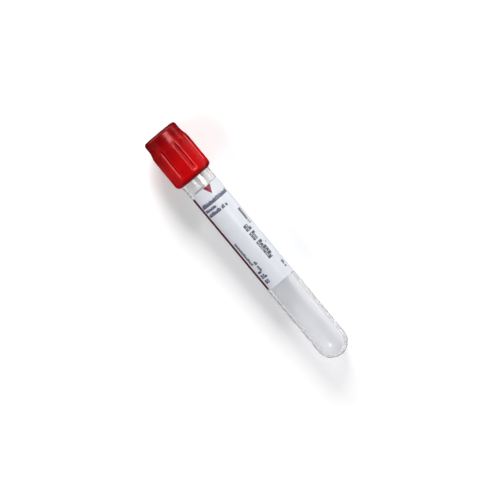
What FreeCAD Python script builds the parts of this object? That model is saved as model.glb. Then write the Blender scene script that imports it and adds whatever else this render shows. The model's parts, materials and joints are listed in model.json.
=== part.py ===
import FreeCAD, Part
import math
import operator
import os

import Sketcher
from FreeCAD import Vector

# An evacuated blood collection tube: a round-bottomed plastic tube, a rubber
# stopper in its mouth, a grip shield snapped over the stopper, and a label.
#
# Every sub-part is drawn in the tube's own frame, with the axis along +Z and
# the round bottom at the origin. Its placement then lays it down along X, the
# closure towards -X, tilted so that the shield's skirt and the round bottom
# both touch Z = 0.


# ---------------------------------------------------------------- sizes, in mm
SIZES = [
    # tube
    ("tube_length", 100.0),          # round bottom to rim
    ("tube_rim_diameter", 12.5),     # outside, at the rim
    ("tube_end_diameter", 12.2),     # outside, where the round bottom starts
    ("tube_straight", 29.0),         # without draft, above the round bottom
    ("tube_wall", 1.05),
    ("seat_depth", 14.0),            # straight part of the bore, for the plug
    ("rim_round", 0.35),
    # stopper
    ("plug_length", 10.5),           # below the rim
    ("plug_clearance", 0.04),        # radial, plug to bore
    ("plug_chamfer", 0.7),
    ("hollow_diameter", 6.4),        # blind hole in the plug's lower end
    ("hollow_depth", 9.0),
    ("flange_height", 1.4),          # rests on the rim
    ("flange_lap", 0.5),             # flange over the shield's retaining rib
    ("head_height", 5.6),            # rim to the top ring's underside
    ("head_inset", 0.25),            # head inside the rim's radius
    ("boss_rise", 0.6),              # boss standing in the shield's top hole
    ("boss_clearance", 0.25),
    ("well_diameter", 5.8),          # needle well in the boss
    ("well_depth", 2.4),
    # shield
    ("shield_clearance", 0.05),      # radial, stopper to shield
    ("body_wall", 1.3),              # outside the flange
    ("band_wall", 1.2),              # outside the head
    ("top_ring", 1.4),               # thickness of the ring over the head
    ("top_lap", 1.3),                # ring over the head's edge
    ("band_height", 4.1),
    ("ramp_height", 3.2),
    ("skirt_cover", 14.2),           # skirt below the rim
    ("skirt_clearance", 0.3),        # radial, skirt to tube
    ("mouth_flare", 0.15),
    ("rib_height", 1.0),             # retaining rib under the flange
    ("rib_lead", 0.3),               # sloped lead-in below the rib
    ("rib_clearance", 0.15),         # radial, rib to tube
    ("top_round", 1.0),
    ("hole_round", 0.35),
    ("skirt_land", 0.15),            # flat end between the mouth and the edge
    ("groove_count", 8.0),
    ("groove_step", 0.2),            # groove's bottom outside the band
    ("groove_angle", 84.0),          # between the groove's two walls, degrees
    ("groove_foot", 3.2),            # smooth skirt below the grooves
    ("lip_round", 0.35),
    ("panel_radius", 28.0),
    # label
    ("label_start", 36.0),           # above the round bottom
    ("label_length", 45.0),
    ("label_thickness", 0.12),
    ("label_glue", 0.02),
    ("label_wrap", 300.0),           # around the tube, degrees
    ("label_middle", 84.5),          # middle of the wrap from straight up
]


class Size:
    # A number together with the expression that works it out from the sheet.
    def __init__(self, value, text):
        self.value = value
        self.text = text

    def __add__(self, other):
        return combined(self, other, operator.add, "+")

    def __sub__(self, other):
        return combined(self, other, operator.sub, "-")

    def __mul__(self, other):
        return combined(self, other, operator.mul, "*")

    def __truediv__(self, other):
        return combined(self, other, operator.truediv, "/")

    def __pow__(self, other):
        return combined(self, other, operator.pow, "^")


def as_size(number):
    return number if isinstance(number, Size) else Size(float(number), repr(number))


def combined(first, second, work, sign):
    first, second = as_size(first), as_size(second)
    value = work(first.value, second.value)
    return Size(value, f"({first.text} {sign} {second.text})")


def sine(degrees):
    return Size(math.sin(math.radians(degrees.value)), f"sin({degrees.text} * 1 deg)")


def cosine(degrees):
    return Size(math.cos(math.radians(degrees.value)), f"cos({degrees.text} * 1 deg)")


def arc_sine(ratio):
    return Size(math.degrees(math.asin(ratio.value)), f"(asin({ratio.text}) / 1 deg)")


def arc_cosine(ratio):
    return Size(math.degrees(math.acos(ratio.value)), f"(acos({ratio.text}) / 1 deg)")


def arc_tangent(ratio):
    return Size(math.degrees(math.atan(ratio.value)), f"(atan({ratio.text}) / 1 deg)")


def make_sheet(doc):
    sheet = doc.addObject("Spreadsheet::Sheet", "Sizes")
    for row, (name, value) in enumerate(SIZES, start=1):
        sheet.set(f"A{row}", name)
        sheet.set(f"B{row}", str(value))
        sheet.setAlias(f"B{row}", name)
    doc.recompute()
    return sheet


doc = FreeCAD.newDocument("BloodCollectionTube")
sheet = make_sheet(doc)
size = {name: Size(float(value), f"Sizes.{name}") for name, value in SIZES}
zero = as_size(0)


# ------------------------------------------------- sizes that follow from them
rim_z = size["tube_length"]
rim_radius = size["tube_rim_diameter"] / 2
end_radius = size["tube_end_diameter"] / 2
bore_radius = rim_radius - size["tube_wall"]
bore_end_radius = end_radius - size["tube_wall"]
straight_z = end_radius + size["tube_straight"]
draft_top_z = rim_z - size["rim_round"]

plug_radius = bore_radius - size["plug_clearance"]
head_radius = rim_radius - size["head_inset"]
rib_radius = rim_radius + size["rib_clearance"]
flange_radius = rib_radius + size["flange_lap"]
hole_radius = head_radius - size["top_lap"]
boss_radius = hole_radius - size["boss_clearance"]

head_pocket_radius = head_radius + size["shield_clearance"]
flange_pocket_radius = flange_radius + size["shield_clearance"]
band_radius = head_pocket_radius + size["band_wall"]
body_radius = flange_pocket_radius + size["body_wall"]
skirt_bore_radius = rim_radius + size["skirt_clearance"]
mouth_radius = skirt_bore_radius + size["mouth_flare"]
skirt_round = body_radius - mouth_radius - size["skirt_land"]

head_top_z = rim_z + size["head_height"]
shield_top_z = head_top_z + size["top_ring"]
band_foot_z = shield_top_z - size["band_height"]
ramp_foot_z = band_foot_z - size["ramp_height"]
skirt_z = rim_z - size["skirt_cover"]
groove_foot_z = skirt_z + size["groove_foot"]

# A groove's walls meet the body circle at panel_edge from the middle of the
# panel beside it, and the panel's arc is drawn through that point.
half_turn = as_size(180) / size["groove_count"]
groove_floor = band_radius + size["groove_step"]
half_groove = size["groove_angle"] / 2
panel_edge = half_turn - half_groove + arc_sine(groove_floor * sine(half_groove) / body_radius)
edge_across, edge_out = body_radius * sine(panel_edge), body_radius * cosine(panel_edge)
panel_centre_back = (size["panel_radius"] ** 2 - edge_across ** 2) ** 0.5 - edge_out
panel_apex = size["panel_radius"] - panel_centre_back
panel_outside = body_radius + 2

# The axis of the lying tube rises towards the closure. The floor is touched
# by the round bottom (a sphere) and by the lowest panel, in its middle, where
# the panel runs out into the skirt's rounded edge.
edge_drop = (skirt_round ** 2 - (panel_apex - body_radius + skirt_round) ** 2) ** 0.5
contact_span = skirt_z + skirt_round - edge_drop - end_radius
contact_reach = (panel_apex ** 2 + contact_span ** 2) ** 0.5
tilt = arc_cosine(end_radius / contact_reach) - arc_tangent(contact_span / panel_apex)

# The lying object's middle is at X = 0.
top_ring_reach = (shield_top_z - size["top_round"]) * cosine(tilt)
top_edge_reach = (band_radius - size["top_round"]) * sine(tilt) + size["top_round"]
end_reach = end_radius - end_radius * cosine(tilt)
rest_x = (top_ring_reach + top_edge_reach - end_reach) / 2
rest_z = end_radius - end_radius * sine(tilt)


# ------------------------------------------------------------------- sketching
ORIGIN = (-1, 1)
START, END, CENTRE = 1, 2, 3


def bind(thing, name, amount, unit=""):
    text = f"{amount.text} * 1 {unit}" if unit else amount.text
    thing.setExpression(name, text)


def constrain(sketch, *arguments):
    return sketch.addConstraint(Sketcher.Constraint(*arguments))


def constrain_size(sketch, amount, *arguments, unit=""):
    value = math.radians(amount.value) if unit == "deg" else amount.value
    index = constrain(sketch, *arguments, value)
    bind(sketch, f"Constraints[{index}]", amount, unit)


def pin_point(sketch, element, end, across, along):
    constrain_size(sketch, across, "DistanceX", *ORIGIN, element, end)
    constrain_size(sketch, along, "DistanceY", *ORIGIN, element, end)


def new_sketch(body, name, role):
    sketch = body.newObject("Sketcher::SketchObject", name)
    plane = next(item for item in body.Origin.OriginFeatures if item.Role == role)
    sketch.AttachmentSupport = [(plane, "")]
    sketch.MapMode = "FlatFace"
    return sketch


def arc_between(start, end, radius, turn):
    # The arc from start to end that bends left of that direction for turn 1,
    # right of it for turn -1, and is less than half a circle.
    chord = end - start
    side = Vector(-chord.y, chord.x, 0).normalize()
    drop = math.sqrt(max(radius ** 2 - (chord.Length / 2) ** 2, 0))
    centre = (start + end) / 2 + side * drop * turn
    middle = centre - side * radius * turn
    return Part.Arc(start, middle, end)


def end_at(sketch, element, point):
    # An arc is stored anticlockwise, so either of its ends may be at point.
    gap = sketch.getPoint(element, START).distanceToPoint(point)
    return START if gap < 1e-6 else END


def draw_profile(sketch, steps):
    # Each step is (radius, height) for a straight line to that point, or
    # (radius, height, arc radius, turn) for an arc to it. The first step
    # closes the outline from the last point.
    corners = [Vector(step[0].value, step[1].value, 0) for step in steps]
    for index, step in enumerate(steps):
        start, end = corners[index - 1], corners[index]
        if len(step) == 2:
            sketch.addGeometry(Part.LineSegment(start, end))
        else:
            sketch.addGeometry(arc_between(start, end, step[2].value, step[3]))
    for index, step in enumerate(steps):
        following = (index + 1) % len(steps)
        finish = end_at(sketch, index, corners[index])
        beginning = end_at(sketch, following, corners[index])
        constrain(sketch, "Coincident", index, finish, following, beginning)
        pin_point(sketch, index, finish, step[0], step[1])
        if len(step) == 4:
            constrain_size(sketch, step[2], "Radius", index)


def revolve(body, name, sketch, degrees=as_size(360)):
    feature = body.newObject("PartDesign::Revolution", name)
    feature.Profile = sketch
    feature.ReferenceAxis = (sketch, ["V_Axis"])
    feature.Midplane = True
    bind(feature, "Angle", degrees, "deg")
    sketch.Visibility = False
    return feature


def lay_down(body):
    turn = f"rotation(vector(0; 1; 0); {tilt.text} * 1 deg - 90 deg)"
    body.setExpression("Placement", f"placement(vector({rest_x.text}; 0; {rest_z.text}); {turn})")


def new_body(name):
    body = doc.addObject("PartDesign::Body", name)
    body.Label = name
    return body


# ------------------------------------------------------------------------ tube
def make_tube():
    body = new_body("tube")
    sketch = new_sketch(body, "TubeSection", "XZ_Plane")
    rim_round = size["rim_round"]
    seat_z = rim_z - size["seat_depth"]
    draw_profile(sketch, [
        (zero, zero),
        (end_radius, end_radius, end_radius, 1),
        (end_radius, straight_z),
        (rim_radius, draft_top_z),
        (rim_radius - rim_round, rim_z, rim_round, 1),
        (bore_radius + rim_round, rim_z),
        (bore_radius, rim_z - rim_round, rim_round, 1),
        (bore_radius, seat_z),
        (bore_end_radius, end_radius),
        (zero, size["tube_wall"], bore_end_radius, -1),
    ])
    revolve(body, "TubeWall", sketch)
    lay_down(body)
    return body


# --------------------------------------------------------------------- stopper
def make_stopper():
    body = new_body("stopper")
    sketch = new_sketch(body, "StopperSection", "XZ_Plane")
    plug_z = rim_z - size["plug_length"]
    chamfer = size["plug_chamfer"]
    hollow_radius = size["hollow_diameter"] / 2
    hollow_top_z = plug_z + size["hollow_depth"]
    boss_z = head_top_z + size["boss_rise"]
    well_radius = size["well_diameter"] / 2
    well_z = boss_z - size["well_depth"]
    # The well's floor is dished: a shallow arc across its whole width.
    dish_rise = well_radius / 4
    dish_radius = (well_radius ** 2 + dish_rise ** 2) / (dish_rise * 2)
    draw_profile(sketch, [
        (zero, hollow_top_z),
        (hollow_radius, hollow_top_z - hollow_radius, hollow_radius, -1),
        (hollow_radius, plug_z),
        (plug_radius - chamfer, plug_z),
        (plug_radius, plug_z + chamfer),
        (plug_radius, rim_z),
        (flange_radius, rim_z),
        (flange_radius, rim_z + size["flange_height"]),
        (head_radius, rim_z + size["flange_height"]),
        (head_radius, head_top_z),
        (boss_radius, head_top_z),
        (boss_radius, boss_z),
        (well_radius, boss_z),
        (well_radius, well_z + dish_rise),
        (zero, well_z, dish_radius, -1),
    ])
    revolve(body, "StopperBody", sketch)
    lay_down(body)
    return body


# ---------------------------------------------------------------------- shield
def make_shield():
    body = new_body("closure_shield")
    revolve(body, "ShieldShell", draw_shield_section(body))
    skirt_cut = cut_upwards(body, "SkirtPanel", draw_skirt_panel(body), size["groove_foot"])
    panel_cut = cut_upwards(body, "Panel", draw_panel(body), shield_top_z - groove_foot_z)
    pattern = body.newObject("PartDesign::PolarPattern", "Panels")
    axis = next(item for item in body.Origin.OriginFeatures if item.Role == "Z_Axis")
    pattern.Originals = [skirt_cut, panel_cut]
    pattern.Axis = (axis, [""])
    pattern.Angle = 360
    bind(pattern, "Occurrences", size["groove_count"])
    body.Tip = pattern
    lay_down(body)
    return body


def draw_shield_section(body):
    sketch = new_sketch(body, "ShieldSection", "XZ_Plane")
    top_round, hole_round = size["top_round"], size["hole_round"]
    flange_top_z = rim_z + size["flange_height"] + size["shield_clearance"]
    rib_foot_z = rim_z - size["rib_height"]
    # The ramp is an ogee: two equal arcs that meet half way.
    ramp_width = body_radius - band_radius
    ramp_height = size["ramp_height"]
    ramp_arc = (ramp_width ** 2 + ramp_height ** 2) / (ramp_width * 4)
    draw_profile(sketch, [
        (mouth_radius, skirt_z),
        (body_radius - skirt_round, skirt_z),
        (body_radius, skirt_z + skirt_round, skirt_round, 1),
        (body_radius, ramp_foot_z),
        (band_radius + ramp_width / 2, ramp_foot_z + ramp_height / 2, ramp_arc, 1),
        (band_radius, band_foot_z, ramp_arc, -1),
        (band_radius, shield_top_z - top_round),
        (band_radius - top_round, shield_top_z, top_round, 1),
        (hole_radius + hole_round, shield_top_z),
        (hole_radius, shield_top_z - hole_round, hole_round, 1),
        (hole_radius, head_top_z),
        (head_pocket_radius, head_top_z),
        (head_pocket_radius, flange_top_z),
        (flange_pocket_radius, flange_top_z),
        (flange_pocket_radius, rim_z),
        (rib_radius, rim_z),
        (rib_radius, rib_foot_z),
        (skirt_bore_radius, rib_foot_z - size["rib_lead"]),
    ])
    return sketch


def cut_upwards(body, name, sketch, height):
    cut = body.newObject("PartDesign::Pocket", name)
    cut.Profile = sketch
    cut.Reversed = True
    bind(cut, "Length", height, "mm")
    sketch.Visibility = False
    return cut


def new_panel_sketch(body, name, low_z):
    # Looks down the axis, with X running outwards through a panel's middle.
    # Once the tube is laid on its side, that panel faces straight down.
    sketch = new_sketch(body, name, "XY_Plane")
    turn = "rotation(vector(0; 0; 1); 180 deg)"
    sketch.setExpression("AttachmentOffset", f"placement(vector(0; 0; {low_z.text}); {turn})")
    return sketch


def draw_skirt_panel(body):
    # The flatter panel alone, carried out past the body circle at both ends.
    sketch = new_panel_sketch(body, "SkirtPanelSection", skirt_z)
    across, along = sine(half_turn), cosine(half_turn)
    panel = size["panel_radius"]
    reach = (panel ** 2 - (panel_centre_back * across) ** 2) ** 0.5 - panel_centre_back * along
    draw_profile(sketch, [
        (along * reach, zero - across * reach),
        (along * reach, across * reach, panel, 1),
        (along * panel_outside, across * panel_outside),
        (along * panel_outside, zero - across * panel_outside),
    ])
    return sketch


def draw_panel(body):
    # Half a groove at each side, a rounded lip, and the flatter panel between.
    # What is cut lies between this outline and a line well outside the body.
    sketch = new_panel_sketch(body, "PanelSection", groove_foot_z)
    floor, outside = groove_floor, panel_outside
    panel, lip = size["panel_radius"], size["lip_round"]
    centre_back = panel_centre_back
    wall_turn = half_groove - half_turn

    # The lip's arc touches the wall and the panel: its centre is one lip
    # radius inside both.
    slope = math.radians(wall_turn.value)
    along, inward = Vector(math.cos(slope), math.sin(slope), 0), Vector(-math.sin(slope), math.cos(slope), 0)
    radial = Vector(cosine(half_turn).value, -sine(half_turn).value, 0)
    bottom, corner = radial * floor.value, radial * outside.value
    panel_centre = Vector(-centre_back.value, 0, 0)
    offset = bottom + inward * lip.value - panel_centre
    lean = offset.dot(along)
    reach = math.sqrt(lean ** 2 - offset.dot(offset) + (panel - lip).value ** 2) - lean
    wall_end = bottom + along * reach
    lip_centre = wall_end + inward * lip.value
    lip_end = panel_centre + (lip_centre - panel_centre).normalize() * panel.value

    def mirrored(point):
        return Vector(point.x, -point.y, 0)

    def arc(centre, start, end):
        half_way = centre + ((start + end) / 2 - centre).normalize() * (start - centre).Length
        return Part.Arc(start, half_way, end)

    panel_arc = sketch.addGeometry(arc(panel_centre, lip_end, mirrored(lip_end)))
    constrain_size(sketch, panel, "Radius", panel_arc)
    constrain(sketch, "PointOnObject", panel_arc, CENTRE, -1)
    constrain_size(sketch, centre_back, "DistanceX", panel_arc, CENTRE, *ORIGIN)
    corners = []
    for side, flip in ((-1, lambda point: point), (1, mirrored)):
        wall = sketch.addGeometry(Part.LineSegment(flip(bottom), flip(wall_end)))
        lip_arc = sketch.addGeometry(arc(flip(lip_centre), flip(wall_end), flip(lip_end)))
        line = sketch.addGeometry(Part.LineSegment(flip(bottom), flip(corner)))
        lip_start = end_at(sketch, lip_arc, flip(wall_end))
        lip_finish = end_at(sketch, lip_arc, flip(lip_end))
        panel_start = end_at(sketch, panel_arc, flip(lip_end))
        constrain(sketch, "Coincident", line, START, wall, START)
        constrain(sketch, "Tangent", wall, END, lip_arc, lip_start)
        constrain(sketch, "Tangent", lip_arc, lip_finish, panel_arc, panel_start)
        constrain_size(sketch, lip, "Radius", lip_arc)
        pin_point(sketch, wall, START, cosine(half_turn) * floor, sine(half_turn) * floor * side)
        pin_point(sketch, line, END, cosine(half_turn) * outside, sine(half_turn) * outside * side)
        slope_pair = (-1, START, wall, START) if side < 0 else (wall, START, -1, START)
        constrain_size(sketch, wall_turn, "Angle", *slope_pair, unit="deg")
        corners.append((line, flip(corner)))
    closing = sketch.addGeometry(Part.LineSegment(corners[0][1], corners[1][1]))
    constrain(sketch, "Coincident", closing, START, corners[0][0], END)
    constrain(sketch, "Coincident", closing, END, corners[1][0], END)
    return sketch


# ----------------------------------------------------------------------- label
def make_label():
    body = new_body("label")
    sketch = new_sketch(body, "LabelSection", "XZ_Plane")
    turn = f"rotation(vector(0; 1; 0); {size['label_middle'].text} * 1 deg)"
    sketch.setExpression("AttachmentOffset", f"placement(vector(0; 0; 0); {turn})")
    low_z = size["label_start"]
    high_z = low_z + size["label_length"]
    draft = (rim_radius - end_radius) / (draft_top_z - straight_z)
    low_radius = end_radius + draft * (low_z - straight_z) + size["label_glue"]
    high_radius = end_radius + draft * (high_z - straight_z) + size["label_glue"]
    draw_profile(sketch, [
        (low_radius, low_z),
        (low_radius + size["label_thickness"], low_z),
        (high_radius + size["label_thickness"], high_z),
        (high_radius, high_z),
    ])
    revolve(body, "LabelWrap", sketch, size["label_wrap"])
    lay_down(body)
    return body


# --------------------------------------------------------------- check, export
def check_sound(bodies):
    for item in doc.Objects:
        if "Invalid" in item.State or "Error" in item.State:
            raise RuntimeError(f"{item.Name} did not compute: {item.State}")
    for item in doc.findObjects("Sketcher::SketchObject"):
        if item.solve() != 0 or not item.FullyConstrained:
            raise RuntimeError(f"{item.Name} is not fully constrained")
    for body in bodies:
        shape = body.Shape
        if shape.isNull() or not shape.isValid() or len(shape.Solids) != 1:
            raise RuntimeError(f"{body.Label} is not one valid solid")
    cut = doc.getObject("ShieldShell").Shape.Volume - doc.getObject("Panels").Shape.Volume
    if cut <= 0:
        raise RuntimeError("the panels cut nothing")


def export(bodies):
    os.makedirs("parts", exist_ok=True)
    for body in bodies:
        body.Shape.exportStep(os.path.join("parts", f"{body.Label}.step"))
        box = body.Shape.optimalBoundingBox(False)
        print(f"{body.Label}: {body.Shape.Volume:.1f} mm3, {box.XLength:.2f} x {box.YLength:.2f}"
              f" x {box.ZLength:.2f} mm, lowest {box.ZMin:.3f}")


bodies = [make_tube(), make_stopper(), make_shield(), make_label()]
doc.recompute()
check_sound(bodies)
print(f"lying tilt {tilt.value:.4f} degrees, round bottom at x {rest_x.value:.4f} z {rest_z.value:.4f}")
export(bodies)
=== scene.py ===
import json
import math

import bmesh
import bpy
from mathutils import Matrix, Vector


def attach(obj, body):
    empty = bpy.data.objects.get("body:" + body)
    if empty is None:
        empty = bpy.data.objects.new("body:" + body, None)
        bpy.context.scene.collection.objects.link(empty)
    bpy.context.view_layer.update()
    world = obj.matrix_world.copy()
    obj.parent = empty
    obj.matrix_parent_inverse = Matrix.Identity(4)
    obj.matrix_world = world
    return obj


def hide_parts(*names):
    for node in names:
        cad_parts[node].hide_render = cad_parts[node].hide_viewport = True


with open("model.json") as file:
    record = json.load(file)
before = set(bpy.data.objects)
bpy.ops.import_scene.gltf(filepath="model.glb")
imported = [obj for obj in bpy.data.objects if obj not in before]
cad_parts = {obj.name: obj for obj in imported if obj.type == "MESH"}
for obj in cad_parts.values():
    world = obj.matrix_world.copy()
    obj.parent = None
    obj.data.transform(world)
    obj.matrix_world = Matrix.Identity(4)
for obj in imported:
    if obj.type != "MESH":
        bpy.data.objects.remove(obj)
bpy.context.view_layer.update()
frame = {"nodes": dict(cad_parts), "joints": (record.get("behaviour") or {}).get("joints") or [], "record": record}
print("frame loaded:", ", ".join(sorted(frame["nodes"])))

mm = 0.001
sameSpot = 1e-4  # mm, points nearer than this are one
sameRing = 1e-3  # mm, how near a point has to be to count as on a ring

# The tube lies tilted. Every piece is shaped upright in millimetres, with the round bottom's
# tip at zero, the closure at the top and local X upwards, and is then laid down with layDown.
pull = next(joint for joint in frame["joints"] if joint["name"] == "closure_pull")
sleeve = next(mount for mount in frame["record"]["mounts"] if mount["name"] == "tube_end")
alongTube = Vector(pull["axis"]).normalized()
acrossTube = Vector((0, 1, 0))
upFromTube = acrossTube.cross(alongTube)
sleeveMiddle = sleeve["dims"]["length_mm"] / 2 + sleeve["dims"]["r_mm"]
tip = Vector(sleeve["pos_m"]) - alongTube * sleeveMiddle * mm
layDown = Matrix.Translation(tip) @ Matrix((upFromTube, acrossTube, alongTube)).transposed().to_4x4()


# Shaping helpers

def spinOutline(outline, steps, closed=False):
    # An outline is a start and then either points, (radius, height), or turns about a point,
    # (radius, height, degrees, steps), with positive degrees from outwards to upwards.
    mesh = bmesh.new()
    first = last = mesh.verts.new((outline[0][0], 0, outline[0][1]))
    for move in outline[1:]:
        if len(move) == 2:
            corner = mesh.verts.new((move[0], 0, move[1]))
            mesh.edges.new((last, corner))
            last = corner
        else:
            radius, height, turn, arcSteps = move
            made = bmesh.ops.spin(mesh, geom=[last], cent=(radius, 0, height), axis=(0, -1, 0),
                                  dvec=(0, 0, 0), angle=math.radians(turn), steps=arcSteps)
            last = made["geom_last"][0]
    if closed:
        mesh.edges.new((last, first))
    bmesh.ops.spin(mesh, geom=mesh.verts[:] + mesh.edges[:], cent=(0, 0, 0), axis=(0, 0, 1),
                   dvec=(0, 0, 0), angle=2 * math.pi, steps=steps, use_merge=True)
    bmesh.ops.remove_doubles(mesh, verts=mesh.verts, dist=sameSpot)
    bmesh.ops.recalc_face_normals(mesh, faces=mesh.faces)
    return mesh


def roundRing(mesh, radius, height, size, segments):
    # Bevels the edges of the ring that lies at this radius and height
    def onRing(vert):
        aside = abs(math.hypot(vert.co.x, vert.co.y) - radius)
        return aside < sameRing and abs(vert.co.z - height) < sameRing
    ring = [edge for edge in mesh.edges if onRing(edge.verts[0]) and onRing(edge.verts[1])]
    bmesh.ops.bevel(mesh, geom=ring, offset=size, offset_type="OFFSET", affect="EDGES",
                    segments=segments, profile=0.5, material=-1, clamp_overlap=True)


def addRings(mesh, heights):
    for height in heights:
        geometry = mesh.verts[:] + mesh.edges[:] + mesh.faces[:]
        bmesh.ops.bisect_plane(mesh, geom=geometry, dist=sameSpot, plane_co=(0, 0, height),
                               plane_no=(0, 0, 1))


def evenly(start, end, step):
    count = max(1, round((end - start) / step))
    return [start + (end - start) * index / count for index in range(count + 1)]


def finishPiece(mesh, name, materials, sharp=40):
    # Edges that turn by more than the sharp angle, in degrees, are shaded sharp
    for face in mesh.faces:
        face.smooth = True
    for edge in mesh.edges:
        edge.smooth = edge.calc_face_angle(0) < math.radians(sharp)
    mesh.transform(layDown @ Matrix.Scale(mm, 4))
    data = bpy.data.meshes.new(name)
    mesh.to_mesh(data)
    mesh.free()
    for material in materials:
        data.materials.append(material)
    piece = bpy.data.objects.new(name, data)
    bpy.context.scene.collection.objects.link(piece)
    print(f"{name}: {len(data.polygons)} faces")
    return piece


# Node helpers

def newMaterial(name):
    material = bpy.data.materials.new(name)
    material.use_nodes = True
    material.node_tree.nodes.clear()
    return material, material.node_tree


def addNode(tree, kind, inputs=None, **settings):
    # An input's value is a plain one or another node's output. Nodes are laid out in rows of eight.
    node = tree.nodes.new(kind)
    node.location = (220 * (len(tree.nodes) % 8), -260 * (len(tree.nodes) // 8))
    for key, value in settings.items():
        setattr(node, key, value)
    for key, value in (inputs or {}).items():
        if isinstance(value, bpy.types.NodeSocket):
            tree.links.new(value, node.inputs[key])
        else:
            node.inputs[key].default_value = value
    return node


def calc(tree, operation, first, second=0.0, third=0.5, clamp=False):
    # The third value is how far apart COMPARE lets the first two be
    inputs = {0: first, 1: second, 2: third}
    return addNode(tree, "ShaderNodeMath", inputs, operation=operation, use_clamp=clamp).outputs[0]


def between(tree, value, low, high):
    above = calc(tree, "GREATER_THAN", value, low)
    below = calc(tree, "LESS_THAN", value, high)
    return calc(tree, "MULTIPLY", above, below)


def blendColour(tree, factor, first, second, mode="MIX"):
    # The colour sockets of a Mix node are its inputs 6 and 7 and its output 2
    inputs = {0: factor, 6: first, 7: second}
    return addNode(tree, "ShaderNodeMix", inputs, data_type="RGBA", blend_type=mode).outputs[2]


def remap(tree, value, source, target):
    # Carries one span of values, (low, high), over to another
    node = addNode(tree, "ShaderNodeMapRange", {
        "Value": value, "From Min": source[0], "From Max": source[1],
        "To Min": target[0], "To Max": target[1],
    })
    return node.outputs["Result"]


def colourRamp(tree, value, stops):
    node = addNode(tree, "ShaderNodeValToRGB", {"Fac": value})
    while len(node.color_ramp.elements) < len(stops):
        node.color_ramp.elements.new(0.5)
    for element, (place, colour) in zip(node.color_ramp.elements, stops):
        element.position = place
        element.color = colour
    return node.outputs["Color"]


def uprightCoordinates(tree):
    # Object coordinates turned back to the upright tube, in millimetres
    source = addNode(tree, "ShaderNodeTexCoord")
    back = (layDown @ Matrix.Scale(mm, 4)).inverted()
    place, turn, scale = back.decompose()
    node = addNode(tree, "ShaderNodeMapping", {
        "Vector": source.outputs["Object"],
        "Location": place,
        "Rotation": turn.to_euler(),
        "Scale": scale,
    }, vector_type="POINT")
    return node.outputs["Vector"]


def lampsThrough(tree, shader, colour):
    # Light from the lamps passes the surface, weakened by the colour, and so casts a pale shadow
    clear = addNode(tree, "ShaderNodeBsdfTransparent", {"Color": colour})
    path = addNode(tree, "ShaderNodeLightPath")
    mixed = addNode(tree, "ShaderNodeMixShader", {
        0: path.outputs["Is Shadow Ray"], 1: shader.outputs[0], 2: clear.outputs[0],
    })
    return mixed.outputs[0]


def beforeDiffuse(tree, path, value=1.0):
    # Keeps the value for rays that have met only gloss or glass since the camera, and gives zero
    # to the others, so that what shines with this value lights nothing
    unscattered = calc(tree, "LESS_THAN", path.outputs["Diffuse Depth"], 0.5)
    return calc(tree, "MULTIPLY", unscattered, value)


def output(tree, shader):
    addNode(tree, "ShaderNodeOutputMaterial", {"Surface": shader})


def makeMouldedSkin():
    # The faint unevenness of a moulded surface: slow waves from the mould and a fine grain
    group = bpy.data.node_groups.new("mouldedSkin", "ShaderNodeTree")
    inputs = (("Coordinates", "NodeSocketVector"), ("Wave Size", "NodeSocketFloat"),
              ("Grain Size", "NodeSocketFloat"), ("Grain Share", "NodeSocketFloat"))
    for name, kind in inputs:
        group.interface.new_socket(name, in_out="INPUT", socket_type=kind)
    group.interface.new_socket("Height", in_out="OUTPUT", socket_type="NodeSocketFloat")
    group.interface.new_socket("Patches", in_out="OUTPUT", socket_type="NodeSocketFloat")
    given = group.nodes.new("NodeGroupInput")
    waves = addNode(group, "ShaderNodeTexNoise", {
        "Vector": given.outputs["Coordinates"],
        "Scale": calc(group, "DIVIDE", 1.0, given.outputs["Wave Size"]),
        "Detail": 2.0, "Roughness": 0.45,
    })
    grain = addNode(group, "ShaderNodeTexNoise", {
        "Vector": given.outputs["Coordinates"],
        "Scale": calc(group, "DIVIDE", 1.0, given.outputs["Grain Size"]),
        "Detail": 3.0, "Roughness": 0.6,
    })
    fine = calc(group, "MULTIPLY", grain.outputs["Fac"], given.outputs["Grain Share"])
    result = group.nodes.new("NodeGroupOutput")
    group.links.new(calc(group, "ADD", waves.outputs["Fac"], fine), result.inputs["Height"])
    group.links.new(waves.outputs["Fac"], result.inputs["Patches"])
    return group


# Greeked letters. Shares are of a letter's width or of the row's height.
letters = {
    "tallShare": 0.5, "lowReach": 0.25, "tallReach": 0.25, "gapShare": 0.05, "barWidth": 0.86,
    "openMiddle": 0.43, "openHalfWidth": 0.17, "openHalfHeight": 0.11, "openCentre": 0.6,
    "openStray": 0.5, "openFrom": 0.7,
}


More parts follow.
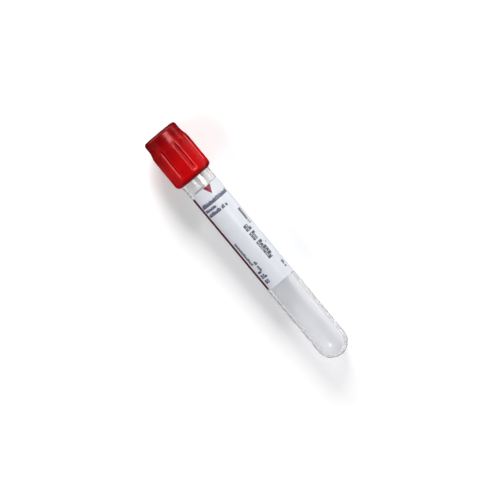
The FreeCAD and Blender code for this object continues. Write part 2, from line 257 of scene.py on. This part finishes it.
def makePrintedRow():
    # One row of greeked print: small blocks in letter-sized cells, with word gaps
    group = bpy.data.node_groups.new("printedRow", "ShaderNodeTree")
    for name in ("Across", "Along", "Left", "Right", "Middle", "Height", "Cell", "Seed"):
        group.interface.new_socket(name, in_out="INPUT", socket_type="NodeSocketFloat")
    group.interface.new_socket("Mask", in_out="OUTPUT", socket_type="NodeSocketFloat")
    given = group.nodes.new("NodeGroupInput").outputs
    fromLeft = calc(group, "SUBTRACT", given["Across"], given["Left"])
    fromMiddle = calc(group, "SUBTRACT", given["Along"], given["Middle"])
    halfHeight = calc(group, "MULTIPLY", given["Height"], 0.5)
    inside = calc(group, "MULTIPLY",
                  between(group, given["Across"], given["Left"], given["Right"]),
                  calc(group, "LESS_THAN", calc(group, "ABSOLUTE", fromMiddle), halfHeight))
    column = calc(group, "DIVIDE", fromLeft, given["Cell"])
    letter = calc(group, "FLOOR", column)
    acrossLetter = calc(group, "FRACT", column)
    upRow = calc(group, "DIVIDE", fromMiddle, given["Height"])

    def randomFor(step):
        seed = calc(group, "ADD", given["Seed"], step)
        place = addNode(group, "ShaderNodeCombineXYZ", {"X": letter, "Y": seed})
        noise = addNode(group, "ShaderNodeTexWhiteNoise", {"Vector": place.outputs["Vector"]},
                        noise_dimensions="2D")
        return noise.outputs["Value"]

    # each letter is a bar: some reach up, some stay low, and about one in twenty is a gap
    tall = calc(group, "GREATER_THAN", randomFor(0.0), letters["tallShare"])
    reach = calc(group, "ADD", calc(group, "MULTIPLY", tall, letters["tallReach"]), letters["lowReach"])
    fits = calc(group, "LESS_THAN", upRow, reach)
    inked = calc(group, "GREATER_THAN", randomFor(0.5), letters["gapShare"])
    parted = calc(group, "LESS_THAN", acrossLetter, letters["barWidth"])
    mask = calc(group, "MULTIPLY", calc(group, "MULTIPLY", inside, fits),
                calc(group, "MULTIPLY", inked, parted))
    # and each wide one has a small opening at its own height
    openAcross = calc(group, "COMPARE", acrossLetter, letters["openMiddle"], letters["openHalfWidth"])
    stray = calc(group, "SUBTRACT", randomFor(1.5), letters["openCentre"])
    openUp = calc(group, "COMPARE", upRow, calc(group, "MULTIPLY", stray, letters["openStray"]),
                  letters["openHalfHeight"])
    opening = calc(group, "MULTIPLY", calc(group, "MULTIPLY", openAcross, openUp),
                   calc(group, "GREATER_THAN", given["Cell"], letters["openFrom"]))
    mask = calc(group, "SUBTRACT", mask, opening, clamp=True)
    result = group.nodes.new("NodeGroupOutput")
    group.links.new(mask, result.inputs["Mask"])
    return group


mouldedSkin = makeMouldedSkin()
printedRow = makePrintedRow()
print("shared effects ready")


def placeSkin(tree, coordinates, values):
    # The moulded unevenness, with a piece's own sizes in millimetres
    return addNode(tree, "ShaderNodeGroup", {
        "Coordinates": coordinates, "Wave Size": values["waveSize"],
        "Grain Size": values["grainSize"], "Grain Share": values["grainShare"],
    }, node_tree=mouldedSkin).outputs


def bumpFrom(tree, skin, values):
    bump = addNode(tree, "ShaderNodeBump", {
        "Height": skin["Height"], "Strength": values["strength"], "Distance": values["depth"] * mm,
    })
    return bump.outputs["Normal"]


# The clear tube

tube = {
    "length": 100.0, "rimRadius": 6.25, "endRadius": 6.1, "straightTo": 35.1,
    "wall": 1.05, "seat": 86.0, "rimRound": 0.35, "steps": 256, "endSteps": 32, "rimSteps": 4,
    "rings": (12, 96, 6),  # first, last, apart
    # the tint, lighter near the closure: painted light that lifts the shade falling on the bare tube there
    "coloursWithPaintedLight": [
        (0.0, (0.918, 0.921, 0.938, 1)), (0.7, (0.918, 0.921, 0.938, 1)), (0.8, (0.985, 0.985, 0.985, 1)),
    ],
    # what the wall lets through square to it and along it
    "shadow": (0.90, 0.90, 0.91, 1), "edgeShadow": (0.60, 0.60, 0.62, 1), "edgePower": 3.0,
    "roughness": (0.05, 0.09), "patches": (0.3, 0.7), "ior": 1.5, "clear": 0.89,
    "drawn": 0.03,  # the skin's scale along the tube, so that its waves run lengthwise
    "skin": {"waveSize": 9.0, "grainSize": 0.5, "grainShare": 0.01, "strength": 0.35, "depth": 0.002},
}


def makeClearPlastic():
    material, tree = newMaterial("clearPlastic")
    upright = uprightCoordinates(tree)
    drawn = addNode(tree, "ShaderNodeMapping", {"Vector": upright, "Scale": (1, 1, tube["drawn"])})
    skin = placeSkin(tree, drawn.outputs["Vector"], tube["skin"])
    height = addNode(tree, "ShaderNodeSeparateXYZ", {"Vector": upright}).outputs["Z"]
    # the tint along the tube is lighter near the closure, painted light against the shade there
    glass = addNode(tree, "ShaderNodeBsdfPrincipled", {
        "Base Color": colourRamp(tree, calc(tree, "DIVIDE", height, tube["length"]), tube["coloursWithPaintedLight"]),
        "Roughness": remap(tree, skin["Patches"], tube["patches"], tube["roughness"]),
        "IOR": tube["ior"], "Transmission Weight": tube["clear"],
        "Normal": bumpFrom(tree, skin, tube["skin"]),
    })
    # less light passes where it meets the wall at a low angle
    slant = addNode(tree, "ShaderNodeLayerWeight", {"Blend": 0.5})
    low = calc(tree, "POWER", slant.outputs["Facing"], tube["edgePower"])
    passed = blendColour(tree, low, tube["shadow"], tube["edgeShadow"])
    output(tree, lampsThrough(tree, glass, passed))
    return material


def makeTube():
    end, rim, wall = tube["endRadius"], tube["rimRadius"], tube["wall"]
    mesh = spinOutline([
        (0, 0), (0, end, 90, tube["endSteps"]), (end, tube["straightTo"]), (rim, tube["length"]),
        (rim - wall, tube["length"]), (rim - wall, tube["seat"]), (end - wall, end),
        (0, end, -90, tube["endSteps"]),
    ], tube["steps"])
    for radius in (rim, rim - wall):
        roundRing(mesh, radius, tube["length"], tube["rimRound"], tube["rimSteps"])
    addRings(mesh, evenly(*tube["rings"]))
    piece = finishPiece(mesh, "clearTube", [makeClearPlastic()], sharp=60)
    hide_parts("tube")
    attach(piece, "tube_body")


makeTube()


# The rubber stopper

stopper = {
    "plugEnd": 89.5, "plugRadius": 5.16, "plugChamfer": 0.7, "hollowRadius": 3.2, "hollowTop": 98.5,
    "rim": 100.0, "flangeRadius": 6.9, "flangeTop": 101.4, "headRadius": 6.0, "headTop": 105.6,
    "bossRadius": 4.45, "bossTop": 106.2, "wellRadius": 2.9, "wellFloor": 103.8, "wellDish": 0.725,
    "edgeRound": 0.12, "bossRound": 0.25,
    "steps": 96, "hollowSteps": 12, "wellSteps": 6, "roundSteps": 4, "edgeSteps": 2,
    "colour": (0.20, 0.012, 0.010, 1), "bloom": (0.34, 0.06, 0.05, 1),
    "bloomPatches": (0.45, 0.8), "bloomShare": (0.0, 0.35),
    "grainSpan": (0.4, 1.1), "roughness": (0.42, 0.6),
    "skin": {"waveSize": 2.5, "grainSize": 0.12, "grainShare": 0.6, "strength": 0.5, "depth": 0.03},
}


def makeRubber():
    material, tree = newMaterial("stopperRubber")
    skin = placeSkin(tree, uprightCoordinates(tree), stopper["skin"])
    bloom = remap(tree, skin["Patches"], stopper["bloomPatches"], stopper["bloomShare"])
    rubber = addNode(tree, "ShaderNodeBsdfPrincipled", {
        "Base Color": blendColour(tree, bloom, stopper["colour"], stopper["bloom"]),
        "Roughness": remap(tree, skin["Height"], stopper["grainSpan"], stopper["roughness"]),
        "Normal": bumpFrom(tree, skin, stopper["skin"]),
    })
    output(tree, rubber.outputs[0])
    return material


def makeStopper():
    s = stopper
    dishRadius = (s["wellRadius"] ** 2 + s["wellDish"] ** 2) / (2 * s["wellDish"])
    dishTurn = math.degrees(math.asin(s["wellRadius"] / dishRadius))
    mesh = spinOutline([
        (0, s["hollowTop"]), (0, s["hollowTop"] - s["hollowRadius"], -90, s["hollowSteps"]),
        (s["hollowRadius"], s["plugEnd"]), (s["plugRadius"], s["plugEnd"]), (s["plugRadius"], s["rim"]),
        (s["flangeRadius"], s["rim"]), (s["flangeRadius"], s["flangeTop"]),
        (s["headRadius"], s["flangeTop"]), (s["headRadius"], s["headTop"]),
        (s["bossRadius"], s["headTop"]), (s["bossRadius"], s["bossTop"]),
        (s["wellRadius"], s["bossTop"]), (s["wellRadius"], s["wellFloor"] + s["wellDish"]),
        (0, s["wellFloor"] + dishRadius, -dishTurn, s["wellSteps"]),
    ], s["steps"])
    roundRing(mesh, s["plugRadius"], s["plugEnd"], s["plugChamfer"], s["roundSteps"])
    for height in (s["rim"], s["flangeTop"]):
        roundRing(mesh, s["flangeRadius"], height, s["edgeRound"], s["edgeSteps"])
    for radius in (s["bossRadius"], s["wellRadius"]):
        roundRing(mesh, radius, s["bossTop"], s["bossRound"], s["roundSteps"])
    piece = finishPiece(mesh, "rubberStopper", [makeRubber()])
    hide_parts("stopper")
    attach(piece, "closure")


makeStopper()


# The grip shield over the stopper

shield = {
    "top": 106.999, "band": 7.25, "topRound": 1.15, "bandFoot": 103.9, "rampFoot": 98.3, "body": 8.25,
    "bendStart": 89.5, "bendRadius": 9.0, "bendEnd": 87.3, "edgeRadius": 1.985, "edgeEnd": 85.967,
    "mouth": 6.7, "mouthHeight": 86.1, "bore": 6.55, "ribFoot": 98.7, "ribLead": 99.0, "rib": 6.4,
    "ribTop": 100.0, "flangePocket": 6.95, "flangeTop": 101.45, "headPocket": 6.05, "headTop": 105.6,
    "hole": 4.7, "holeRound": 0.35,
    "rampSteps": 6, "bendSteps": 6, "edgeSteps": 10, "topSteps": 10, "holeSteps": 5,
    # panels and grooves, which shape the vertices beyond the outside radius
    "panels": 8, "panelRadius": 28.0, "panelMiddle": 7.9728, "grooveDepth": 0.8, "wallTurn": 30.0,
    "grooveFoot": 89.0, "grooveHalf": 0.62, "lip": 0.38, "valley": 0.10, "outside": 7.05,
    "footRound": 0.3, "floorRound": 0.3, "panelRound": 0.06,
    "crease": 0.12, "rampCrease": 0.3, "creaseRise": 2.0,
    "stepsPerPanel": 40, "crowding": 0.6,
    # rings from below a height to above it, this far apart
    "footRings": (-0.72, 1.8, 0.12), "rampRings": (-0.4, 0.2, 0.2),
    # colours from the lowest edge up, with painted shade: darker towards the top and darkest on the crown's round
    "lowEdge": 85.8,
    "coloursWithPaintedLight": [
        (0.0, (0.50, 0.001, 0.003, 1)), (0.14, (0.54, 0.0012, 0.003, 1)),
        (0.35, (0.53, 0.0012, 0.0025, 1)), (0.53, (0.43, 0.001, 0.002, 1)),
        (0.70, (0.30, 0.0012, 0.0022, 1)), (0.88, (0.235, 0.0015, 0.003, 1)),
        (0.95, (0.21, 0.0015, 0.003, 1)), (0.99, (0.11, 0.001, 0.002, 1)),
    ],
    "cloudPatches": (0.35, 0.65), "cloud": (0.93, 1.05),
    "roughness": (0.29, 0.24),  # body, band
    "grainSpan": (0.4, 0.9), "unevenness": (-0.03, 0.05),
    "ior": 1.6, "shineTint": (1.0, 0.36, 0.38, 1),
    "skin": {"waveSize": 5.0, "grainSize": 0.16, "grainShare": 0.25, "strength": 0.4, "depth": 0.02},
}


def grooveInset(fromMiddle, aboveFoot):
    # How far a point is inside a groove's outline, rounded at the two corners of its lower end
    side = shield["grooveHalf"] - math.hypot(fromMiddle, shield["valley"])
    return smoothLeast(side, aboveFoot, shield["footRound"])


def smoothLeast(first, second, width):
    # The lesser of two, with a rounded change from one to the other
    share = max(width - abs(first - second), 0) / width
    return min(first, second) - share * share * width / 4


def panelReach(turn):
    # Radius of a panel's arc at an angle from the panel's middle, never outside the body
    back = shield["panelRadius"] - shield["panelMiddle"]
    reach = math.sqrt(shield["panelRadius"] ** 2 - (back * math.sin(turn)) ** 2) - back * math.cos(turn)
    return smoothLeast(reach, shield["body"], shield["panelRound"])


def sculptPanels(mesh):
    sector = 2 * math.pi / shield["panels"]
    steepness = math.tan(math.radians(shield["wallTurn"]))
    for vert in mesh.verts:
        radius = math.hypot(vert.co.x, vert.co.y)
        place = math.atan2(vert.co.y, vert.co.x) / sector
        share = place - round(place)
        # vertices crowd towards the grooves, where the shape turns fastest
        share += shield["crowding"] * math.sin(2 * math.pi * share) / (2 * math.pi)
        turn = share * sector
        angle = (round(place) + share) * sector
        fromMiddle = shield["body"] * (sector / 2 - abs(turn))
        inset = grooveInset(fromMiddle, vert.co.z - shield["grooveFoot"])
        depth = (inset + math.hypot(inset, shield["lip"])) / 2 / steepness
        section = panelReach(turn) - smoothLeast(depth, shield["grooveDepth"], shield["floorRound"])
        # the crease is softer on the ramp, where the panels run out
        onRamp = min(max((vert.co.z - shield["rampFoot"]) / shield["creaseRise"], 0), 1)
        crease = shield["crease"] + (shield["rampCrease"] - shield["crease"]) * onRamp
        if radius > shield["outside"]:
            radius = smoothLeast(radius, section, crease)
        vert.co.x, vert.co.y = radius * math.cos(angle), radius * math.sin(angle)


def makeShieldPlastic():
    material, tree = newMaterial("shieldPlastic")
    upright = uprightCoordinates(tree)
    height = addNode(tree, "ShaderNodeSeparateXYZ", {"Vector": upright}).outputs["Z"]
    skin = placeSkin(tree, upright, shield["skin"])
    # painted shade: the red darkens from the foot towards the top band, and most on the crown's round, though the
    # closure is one colour
    share = remap(tree, height, (shield["lowEdge"], shield["top"]), (0.0, 1.0))
    colour = colourRamp(tree, share, shield["coloursWithPaintedLight"])
    cloud = remap(tree, skin["Patches"], shield["cloudPatches"], shield["cloud"])
    polish = remap(tree, height, (shield["rampFoot"], shield["bandFoot"]), shield["roughness"])
    uneven = remap(tree, skin["Height"], shield["grainSpan"], shield["unevenness"])
    plastic = addNode(tree, "ShaderNodeBsdfPrincipled", {
        "Base Color": blendColour(tree, 1.0, colour, cloud, "MULTIPLY"),
        "Roughness": calc(tree, "ADD", polish, uneven), "IOR": shield["ior"],
        "Specular Tint": shield["shineTint"], "Normal": bumpFrom(tree, skin, shield["skin"]),
    })
    output(tree, plastic.outputs[0])
    return material


def makeShield():
    s = shield
    # the ramp is two equal arcs, and the foot is a wide bend that runs into the round lower edge
    rampWidth, rampHeight = s["body"] - s["band"], s["bandFoot"] - s["rampFoot"]
    rampArc = (rampWidth ** 2 + rampHeight ** 2) / (4 * rampWidth)
    rampTurn = math.degrees(math.asin(rampHeight / 2 / rampArc))
    bendTurn = math.degrees(math.asin((s["bendStart"] - s["bendEnd"]) / s["bendRadius"]))
    bendCentre = s["body"] - s["bendRadius"]
    inward = s["bendRadius"] - s["edgeRadius"]
    edgeCentre = bendCentre + inward * math.cos(math.radians(bendTurn))
    edgeHeight = s["bendStart"] - inward * math.sin(math.radians(bendTurn))
    edgeTurn = math.degrees(math.asin((edgeHeight - s["edgeEnd"]) / s["edgeRadius"])) - bendTurn
    mesh = spinOutline([
        (s["hole"], s["top"]), (s["band"], s["top"]), (s["band"], s["bandFoot"]),
        (s["band"] + rampArc, s["bandFoot"], rampTurn, s["rampSteps"]),
        (s["body"] - rampArc, s["rampFoot"], -rampTurn, s["rampSteps"]),
        (s["body"], s["bendStart"]), (bendCentre, s["bendStart"], -bendTurn, s["bendSteps"]),
        (edgeCentre, edgeHeight, -edgeTurn, s["edgeSteps"]),
        (s["mouth"], s["mouthHeight"]), (s["bore"], s["ribFoot"]), (s["rib"], s["ribLead"]),
        (s["rib"], s["ribTop"]), (s["flangePocket"], s["ribTop"]), (s["flangePocket"], s["flangeTop"]),
        (s["headPocket"], s["flangeTop"]), (s["headPocket"], s["headTop"]), (s["hole"], s["headTop"]),
    ], s["panels"] * s["stepsPerPanel"], closed=True)
    roundRing(mesh, s["band"], s["top"], s["topRound"], s["topSteps"])
    roundRing(mesh, s["hole"], s["top"], s["holeRound"], s["holeSteps"])
    below, above, step = s["footRings"]
    addRings(mesh, evenly(s["grooveFoot"] + below, s["grooveFoot"] + above, step))
    below, above, step = s["rampRings"]
    addRings(mesh, evenly(s["rampFoot"] + below, s["bandFoot"] + above, step))
    sculptPanels(mesh)
    piece = finishPiece(mesh, "gripShield", [makeShieldPlastic()], sharp=55)
    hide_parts("closure_shield")
    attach(piece, "closure")


makeShield()


# The wrapped label

label = {
    # millimetres, with wrap and middle in degrees round the tube from its top
    "low": 36.0, "high": 81.0, "thickness": 0.12, "glue": 0.02, "wrap": 300.0, "middle": 84.5,
    "steps": 150, "ringStep": 5, "radius": 6.3,
    # left, right, middle, height, letter width, seed: rows round the tube, then rows along it
    "rows": [
        (2.0, 15.3, 75.25, 1.7, 0.46, 1.0), (2.0, 7.2, 73.15, 1.2, 0.42, 2.0),
        (2.0, 11.1, 71.25, 1.5, 0.46, 3.0),
    ],
    "turnedRows": [
        (58.0, 60.8, 11.3, 2.7, 1.4, 4.0, "grey"), (53.9, 57.3, 11.3, 2.7, 1.13, 5.0, "grey"),
        (45.2, 53.2, 11.3, 2.7, 1.33, 6.0, "grey"), (60.1, 67.0, 14.1, 1.6, 0.4, 7.0, "grey"),
        (50.7, 51.3, 14.1, 0.6, 0.6, 8.0, "grey"), (39.0, 42.4, 14.1, 1.4, 0.42, 9.0, "grey"),
        (47.1, 57.4, 3.0, 1.3, 0.4, 10.0, "grey"), (43.5, 48.4, 4.7, 1.2, 0.5, 11.0, "grey"),
        (43.0, 44.0, 3.87, 2.7, 1.0, 12.0, "navy"), (40.7, 42.4, 3.87, 2.7, 0.85, 13.0, "navy"),
        (38.4, 40.0, 3.87, 2.7, 0.8, 14.0, "navy"),
    ],
    # write-in lines on the far side, each with a short row
    "lines": {
        "count": 4, "first": 19.0, "step": 2.6, "width": 0.16, "ends": (40.0, 76.0),
        "row": (70.0, 75.5), "rowRise": 1.1, "rowHeight": 0.8, "letter": 0.5, "seed": 11.0,
    },
    "arrow": {"middle": 9.15, "top": 80.96, "width": 3.4, "height": 3.5},
    "edgeAcross": (-0.5, 1.6), "edgeAlong": (36.3, 79.8),
    "paper": (0.735, 0.76, 0.81, 1), "back": (0.76, 0.765, 0.78, 1),
    "maroon": (0.11, 0.005, 0.022, 1), "crimson": (0.25, 0.006, 0.03, 1),
    "navy": (0.065, 0.065, 0.135, 1), "grey": (0.11, 0.115, 0.13, 1),
    "skinSpan": (0.4, 0.95), "cloud": (0.965, 1.02), "backCloud": (0.9, 1.03),
    "roughness": 0.3, "backRoughness": 0.5, "ior": 1.36, "throughFilm": (0.5, 0.5, 0.52, 1),
    "skin": {"waveSize": 6.0, "grainSize": 0.25, "grainShare": 0.4, "strength": 0.3, "depth": 0.02},
    "backSkin": {"waveSize": 4.0, "grainSize": 0.3, "grainShare": 0.4},
}


def rowMask(tree, across, along, row):
    left, right, middle, height, letter, seed = row
    return addNode(tree, "ShaderNodeGroup", {
        "Across": across, "Along": along, "Left": left, "Right": right, "Middle": middle,
        "Height": height, "Cell": letter, "Seed": seed,
    }, node_tree=printedRow).outputs["Mask"]


def arrowMask(tree, across, along):
    # A plain triangle that points towards the round bottom
    height = label["arrow"]["height"]
    slope = label["arrow"]["width"] / 2 / height
    down = calc(tree, "SUBTRACT", label["arrow"]["top"], along)
    halfWidth = calc(tree, "MULTIPLY", calc(tree, "SUBTRACT", height, down), slope)
    aside = calc(tree, "ABSOLUTE", calc(tree, "SUBTRACT", across, label["arrow"]["middle"]))
    inside = calc(tree, "LESS_THAN", aside, halfWidth)
    return calc(tree, "MULTIPLY", inside, between(tree, down, 0.0, height))


def makeLabelFilm():
    material, tree = newMaterial("labelFilm")
    printMap = addNode(tree, "ShaderNodeUVMap", uv_map="print")
    parts = addNode(tree, "ShaderNodeSeparateXYZ", {"Vector": printMap.outputs["UV"]})
    across, along = parts.outputs["X"], parts.outputs["Y"]
    skin = placeSkin(tree, uprightCoordinates(tree), label["skin"])
    cloud = remap(tree, skin["Height"], label["skinSpan"], label["cloud"])
    colour = blendColour(tree, 1.0, label["paper"], cloud, "MULTIPLY")
    for row in label["rows"]:
        colour = blendColour(tree, rowMask(tree, across, along, row), colour, label["navy"])
    for *row, ink in label["turnedRows"]:
        colour = blendColour(tree, rowMask(tree, along, across, row), colour, label[ink])
    lines = label["lines"]
    for line in range(lines["count"]):
        place = lines["first"] + lines["step"] * line
        drawn = calc(tree, "MULTIPLY", between(tree, across, place, place + lines["width"]),
                     between(tree, along, *lines["ends"]))
        colour = blendColour(tree, drawn, colour, label["grey"])
        row = (*lines["row"], place + lines["rowRise"], lines["rowHeight"], lines["letter"],
               lines["seed"] + line)
        colour = blendColour(tree, rowMask(tree, along, across, row), colour, label["navy"])
    colour = blendColour(tree, arrowMask(tree, across, along), colour, label["crimson"])
    edge = calc(tree, "MULTIPLY", between(tree, across, *label["edgeAcross"]),
                between(tree, along, *label["edgeAlong"]))
    film = addNode(tree, "ShaderNodeBsdfPrincipled", {
        "Base Color": blendColour(tree, edge, colour, label["maroon"]),
        "Roughness": label["roughness"], "IOR": label["ior"],
        "Normal": bumpFrom(tree, skin, label["skin"]),
    })
    output(tree, lampsThrough(tree, film, label["throughFilm"]))
    return material


def makeLabelBack():
    material, tree = newMaterial("labelBack")
    skin = placeSkin(tree, uprightCoordinates(tree), label["backSkin"])
    cloud = remap(tree, skin["Height"], label["skinSpan"], label["backCloud"])
    back = addNode(tree, "ShaderNodeBsdfPrincipled", {
        "Base Color": blendColour(tree, 1.0, label["back"], cloud, "MULTIPLY"),
        "Roughness": label["backRoughness"],
    })
    output(tree, lampsThrough(tree, back, label["throughFilm"]))
    return material


def makeLabel():
    low, high = label["low"], label["high"]
    wrap = math.radians(label["wrap"])
    start = math.radians(label["middle"]) - wrap / 2
    # the film follows the tube's slight taper
    draft = ((tube["rimRadius"] - tube["endRadius"])
             / (tube["length"] - tube["rimRound"] - tube["straightTo"]))
    outer = [tube["endRadius"] + draft * (height - tube["straightTo"]) + label["glue"] + label["thickness"]
             for height in (low, high)]
    mesh = bmesh.new()
    verts = [mesh.verts.new((radius * math.cos(start), radius * math.sin(start), height))
             for radius, height in zip(outer, (low, high))]
    edge = mesh.edges.new(verts)
    bmesh.ops.spin(mesh, geom=verts + [edge], cent=(0, 0, 0), axis=(0, 0, 1), dvec=(0, 0, 0),
                   angle=wrap, steps=label["steps"], use_merge=False)
    addRings(mesh, evenly(low, high, label["ringStep"])[1:-1])
    bmesh.ops.recalc_face_normals(mesh, faces=mesh.faces)
    anyFace = mesh.faces[:][0]
    if anyFace.normal.dot(anyFace.calc_center_median() * Vector((1, 1, 0))) < 0:
        bmesh.ops.reverse_faces(mesh, faces=mesh.faces)
    outside = set(mesh.faces)
    bmesh.ops.solidify(mesh, geom=mesh.faces[:], thickness=label["thickness"])
    layer = mesh.loops.layers.uv.new("print")
    for face in mesh.faces:
        face.material_index = 0 if face in outside else 1
        for loop in face.loops:
            place = loop.vert.co
            turn = (math.atan2(place.y, place.x) - start) % (2 * math.pi)
            if turn > (wrap + 2 * math.pi) / 2:  # nearer to the start than to the end
                turn -= 2 * math.pi
            loop[layer].uv = (turn * label["radius"], place.z)
    piece = finishPiece(mesh, "wrapLabel", [makeLabelFilm(), makeLabelBack()])
    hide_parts("label")
    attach(piece, "tube_body")


makeLabel()
print("object built")


# Floor, light and camera

studio = {
    # the glow lifts the floor to white, and more for each metre, as less of the lamps' light gets there
    "floorHalf": 3.0, "floorWhite": 0.92, "floorGlow": 0.2, "glowPerMetre": 0.3,
    # lamps: turn is round the tube from straight up and lean is towards the closure, both in degrees,
    # and lengths are in metres
    "strip": {"turn": 36.5, "lean": 13.0, "distance": 1.0, "width": 0.44, "length": 0.6, "radiance": 9.8},
    "key": {"turn": 46.5, "lean": 52.0, "distance": 1.4, "width": 0.46, "length": 0.8, "radiance": 27.2},
    "fill": {"turn": -60.0, "lean": 10.0, "distance": 0.8, "width": 0.6, "length": 0.9, "radiance": 2.8},
    # middle and size; the first stands beside the object and the second lies under it
    "cards": [
        {"middle": (0, -0.026, 0.016), "size": (0.15, 0.032), "stands": True},
        {"middle": (0, 0, 0.00005), "size": (0.15, 0.09), "stands": False},
    ],
    "cardBlack": 0.004, "ceiling": (0.04, 0.04, 0.042, 1),
    # view: angles in degrees, distance in metres, width and shifts in millimetres
    "viewTurn": 7.4, "viewRise": 4.0, "viewDistance": 1.6, "viewWidth": 178.6, "axisSlope": 50.3,
    "aside": 3.87, "lower": -1.49, "sensor": 36.0,
}


def makeFloor():
    mesh = bmesh.new()
    bmesh.ops.create_grid(mesh, x_segments=1, y_segments=1, size=studio["floorHalf"])
    data = bpy.data.meshes.new("floor")
    mesh.to_mesh(data)
    mesh.free()
    floor = bpy.data.objects.new("floor", data)
    bpy.context.scene.collection.objects.link(floor)
    material, tree = newMaterial("floorWhite")
    level = studio["floorWhite"]
    diffuse = addNode(tree, "ShaderNodeBsdfDiffuse", {"Color": (level, level, level, 1)})
    path = addNode(tree, "ShaderNodeLightPath")
    seen = calc(tree, "MAXIMUM", path.outputs["Is Camera Ray"],
                calc(tree, "MAXIMUM", path.outputs["Is Glossy Ray"], path.outputs["Is Transmission Ray"]))
    place = addNode(tree, "ShaderNodeTexCoord")
    away = addNode(tree, "ShaderNodeVectorMath", {0: place.outputs["Object"]}, operation="LENGTH")
    strength = calc(tree, "ADD", studio["floorGlow"],
                    calc(tree, "MULTIPLY", away.outputs["Value"], studio["glowPerMetre"]))
    glow = addNode(tree, "ShaderNodeEmission", {
        "Color": (1, 1, 1, 1),
        "Strength": calc(tree, "MULTIPLY", beforeDiffuse(tree, path, seen), strength),
    })
    both = addNode(tree, "ShaderNodeAddShader", {0: diffuse.outputs[0], 1: glow.outputs[0]})
    output(tree, both.outputs[0])
    data.materials.append(material)


def makeSoftBox(name, lights, reflected):
    # Faces the origin, and either lights surfaces or is seen only by gloss and through the tube
    values = studio[name]
    turn, lean = math.radians(values["turn"]), math.radians(values["lean"])
    sideways = upFromTube * math.cos(turn) + acrossTube * math.sin(turn)
    towards = sideways * math.cos(lean) + alongTube * math.sin(lean)
    lengthways = alongTube * math.cos(lean) - sideways * math.sin(lean)
    lamp = bpy.data.lights.new(name + "Box", "AREA")
    lamp.shape = "RECTANGLE"
    lamp.size, lamp.size_y = values["width"], values["length"]
    lamp.energy = values["radiance"] * math.pi * values["width"] * values["length"]
    if reflected:
        lamp.use_nodes = True
        tree = lamp.node_tree
        tree.nodes.clear()
        path = addNode(tree, "ShaderNodeLightPath")
        shine = addNode(tree, "ShaderNodeEmission", {
            "Color": (1, 1, 1, 1), "Strength": beforeDiffuse(tree, path),
        })
        addNode(tree, "ShaderNodeOutputLight", {"Surface": shine.outputs[0]})
    box = bpy.data.objects.new(name + "Box", lamp)
    bpy.context.scene.collection.objects.link(box)
    box.matrix_world = (Matrix.Translation(towards * values["distance"])
                        @ Matrix((lengthways.cross(towards), lengthways, towards)).transposed().to_4x4())
    box.visible_diffuse = lights
    box.visible_glossy = box.visible_transmission = reflected


def makeCards():
    # Dark cards close to the object, seen only in its reflections, keep these deep and draw its edges
    material, tree = newMaterial("darkCard")
    level = studio["cardBlack"]
    felt = addNode(tree, "ShaderNodeBsdfDiffuse", {"Color": (level, level, level, 1)})
    output(tree, felt.outputs[0])
    for number, values in enumerate(studio["cards"]):
        mesh = bmesh.new()
        bmesh.ops.create_grid(mesh, x_segments=1, y_segments=1, size=0.5)
        mesh.transform(Matrix.Diagonal((*values["size"], 1, 1)))
        if values["stands"]:
            mesh.transform(Matrix.Rotation(math.radians(90), 4, "X"))
        mesh.transform(Matrix.Translation(values["middle"]))
        data = bpy.data.meshes.new(f"darkCard{number}")
        mesh.to_mesh(data)
        mesh.free()
        data.materials.append(material)
        card = bpy.data.objects.new(f"darkCard{number}", data)
        bpy.context.scene.collection.objects.link(card)
        card.visible_camera = card.visible_diffuse = False
        card.visible_transmission = card.visible_shadow = False


def makeWorld():
    # Dim all round, so that only the lamps and the floor light the object, and white to the camera,
    # also through the clear tube
    world = bpy.data.worlds.new("studio")
    bpy.context.scene.world = world
    world.use_nodes = True
    tree = world.node_tree
    tree.nodes.clear()
    path = addNode(tree, "ShaderNodeLightPath")
    seen = calc(tree, "MAXIMUM", path.outputs["Is Camera Ray"], path.outputs["Is Transmission Ray"])
    colour = blendColour(tree, beforeDiffuse(tree, path, seen), studio["ceiling"], (1, 1, 1, 1))
    background = addNode(tree, "ShaderNodeBackground", {"Color": colour, "Strength": 1.0})
    addNode(tree, "ShaderNodeOutputWorld", {"Surface": background.outputs[0]})


def makeCamera():
    turn, rise = math.radians(studio["viewTurn"]), math.radians(studio["viewRise"])
    aside = upFromTube * math.cos(turn) + acrossTube * math.sin(turn)
    back = aside * math.cos(rise) + alongTube * math.sin(rise)
    axisSeen = (alongTube - back * alongTube.dot(back)).normalized()
    besideAxis = axisSeen.cross(back)
    slope = math.radians(studio["axisSlope"])
    right = besideAxis * math.sin(slope) - axisSeen * math.cos(slope)
    above = besideAxis * math.cos(slope) + axisSeen * math.sin(slope)
    middle = tip + alongTube * shield["top"] / 2 * mm
    target = middle - right * studio["aside"] * mm - above * studio["lower"] * mm
    data = bpy.data.cameras.new("camera")
    data.sensor_width = studio["sensor"]
    data.lens = studio["sensor"] * studio["viewDistance"] / (studio["viewWidth"] * mm)
    data.clip_start, data.clip_end = 0.05, 20.0
    camera = bpy.data.objects.new("camera", data)
    bpy.context.scene.collection.objects.link(camera)
    camera.matrix_world = (Matrix.Translation(target + back * studio["viewDistance"])
                           @ Matrix((right, above, back)).transposed().to_4x4())
    bpy.context.scene.camera = camera


makeFloor()
makeSoftBox("strip", lights=False, reflected=True)
makeSoftBox("key", lights=True, reflected=False)
makeSoftBox("fill", lights=True, reflected=False)
makeCards()
makeWorld()
makeCamera()
bpy.context.scene.view_settings.view_transform = "Standard"
print("studio ready")
